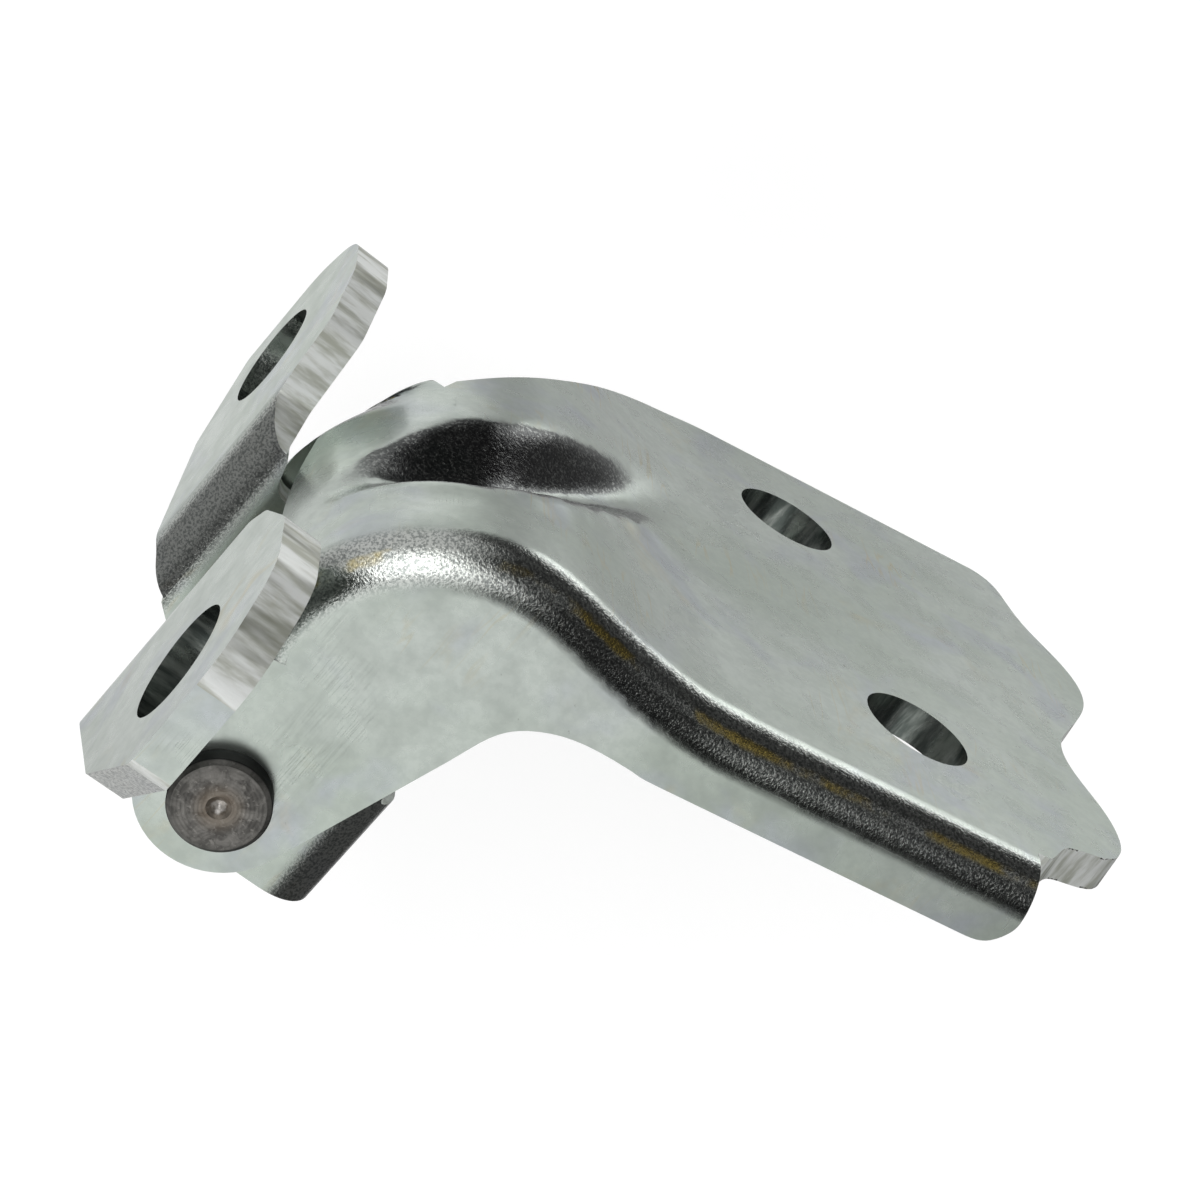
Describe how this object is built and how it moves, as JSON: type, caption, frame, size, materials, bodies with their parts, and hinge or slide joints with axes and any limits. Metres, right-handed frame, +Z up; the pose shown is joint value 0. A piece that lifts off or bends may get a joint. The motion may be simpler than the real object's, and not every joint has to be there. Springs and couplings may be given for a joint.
{
  "type": "car door hinge",
  "caption": "Pressed steel car door hinge: U-shaped body bracket with two bolt tabs, swan-neck door bracket with rolled edge, riveted pin and flanged bushes.",
  "frame": {"origin": "centre of the body bracket's two bolt holes on its mounting face", "axes": "-X out of the mounting face towards the car body, +Z up along the hinge pin, the door bracket reaches towards +X"},
  "size_m": [0.0986, 0.0532, 0.1036],
  "materials": {
    "zinc_body": "satin",
    "zinc_door": "satin",
    "pin_steel": "satin",
    "bush_bronze": "satin"
  },
  "bodies": {
    "body_side": {"body_bracket": "zinc_body", "upper_bush": "bush_bronze", "lower_bush": "bush_bronze"},
    "door_side": {"door_bracket": "zinc_door", "hinge_pin": "pin_steel"}
  },
  "joints": [
    {"name": "door_swing", "type": "hinge", "parent": "body_side", "child": "door_side", "pos_m": [0.014, -0.0175, 0], "axis": [0, 0, -1], "range_deg": [0, 65]}
  ]
}
